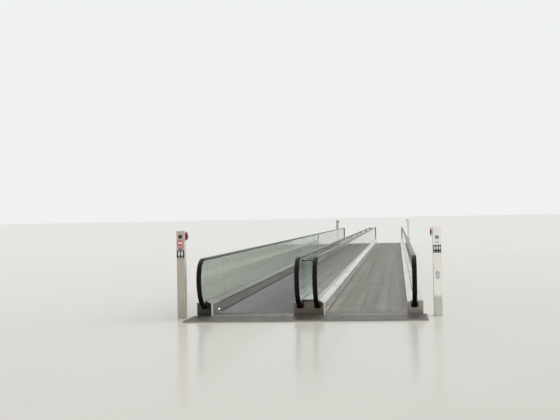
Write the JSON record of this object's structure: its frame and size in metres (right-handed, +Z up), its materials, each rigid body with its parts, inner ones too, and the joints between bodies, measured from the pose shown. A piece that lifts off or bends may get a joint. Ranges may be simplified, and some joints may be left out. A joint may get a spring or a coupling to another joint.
{
  "type": "twin moving walkway",
  "caption": "Level twin moving walkway with grooved pallet bands, glass balustrades, moving handrails, landing plates with combs, and free-standing stop posts.",
  "frame": {"origin": "centre of the footprint, on the floor", "axes": "+X across the walkway to the right, +Y along it from the near end to the far end, +Z up"},
  "size_m": [4.5, 27.76, 1.49],
  "materials": {
    "landing_plate": "ribbed, dark",
    "comb": "ribbed",
    "pallet": "ribbed",
    "skirt": "brushed",
    "deck": "brushed",
    "housing": "brushed",
    "glass": "clear",
    "guide": "satin",
    "handrail": "satin",
    "inlet": "matte",
    "clamp": "satin",
    "comb_light": "gloss",
    "post": "brushed",
    "stop_button": "gloss"
  },
  "bodies": {
    "walkway": {"near_landing_plate": "landing_plate", "far_landing_plate": "landing_plate", "near_combs": "comb", "far_combs": "comb", "left_pallet_band": "pallet", "right_pallet_band": "pallet", "left_skirts": "skirt", "right_skirts": "skirt", "left_inner_decks": "deck", "right_inner_decks": "deck", "left_outer_deck": "deck", "centre_deck": "deck", "right_outer_deck": "deck", "near_left_housing": "housing", "near_centre_housing": "housing", "near_right_housing": "housing", "far_left_housing": "housing", "far_centre_housing": "housing", "far_right_housing": "housing", "outer_left_glass": "glass", "inner_left_glass": "glass", "inner_right_glass": "glass", "outer_right_glass": "glass", "outer_left_guide": "guide", "inner_left_guide": "guide", "inner_right_guide": "guide", "outer_right_guide": "guide", "outer_left_handrail": "handrail", "inner_left_handrail": "handrail", "inner_right_handrail": "handrail", "outer_right_handrail": "handrail", "near_inlets": "inlet", "far_inlets": "inlet", "near_closure_panel": "glass", "far_closure_panel": "glass", "closure_clamps": "clamp", "near_comb_lights": "comb_light", "far_comb_lights": "comb_light", "near_left_post": "post", "near_right_post": "post", "far_left_post": "post", "far_right_post": "post"},
    "near_left_button": {"near_left_button": "stop_button"},
    "near_right_button": {"near_right_button": "stop_button"},
    "far_left_button": {"far_left_button": "stop_button"},
    "far_right_button": {"far_right_button": "stop_button"}
  },
  "joints": [
    {"name": "near_left_press", "type": "slide", "parent": "walkway", "child": "near_left_button", "axis": [-1, 0, 0], "range_m": [0, 0.006], "stiffness_N_per_m": 1500},
    {"name": "near_right_press", "type": "slide", "parent": "walkway", "child": "near_right_button", "axis": [1, 0, 0], "range_m": [0, 0.006], "stiffness_N_per_m": 1500},
    {"name": "far_left_press", "type": "slide", "parent": "walkway", "child": "far_left_button", "axis": [-1, 0, 0], "range_m": [0, 0.006], "stiffness_N_per_m": 1500},
    {"name": "far_right_press", "type": "slide", "parent": "walkway", "child": "far_right_button", "axis": [1, 0, 0], "range_m": [0, 0.006], "stiffness_N_per_m": 1500}
  ]
}
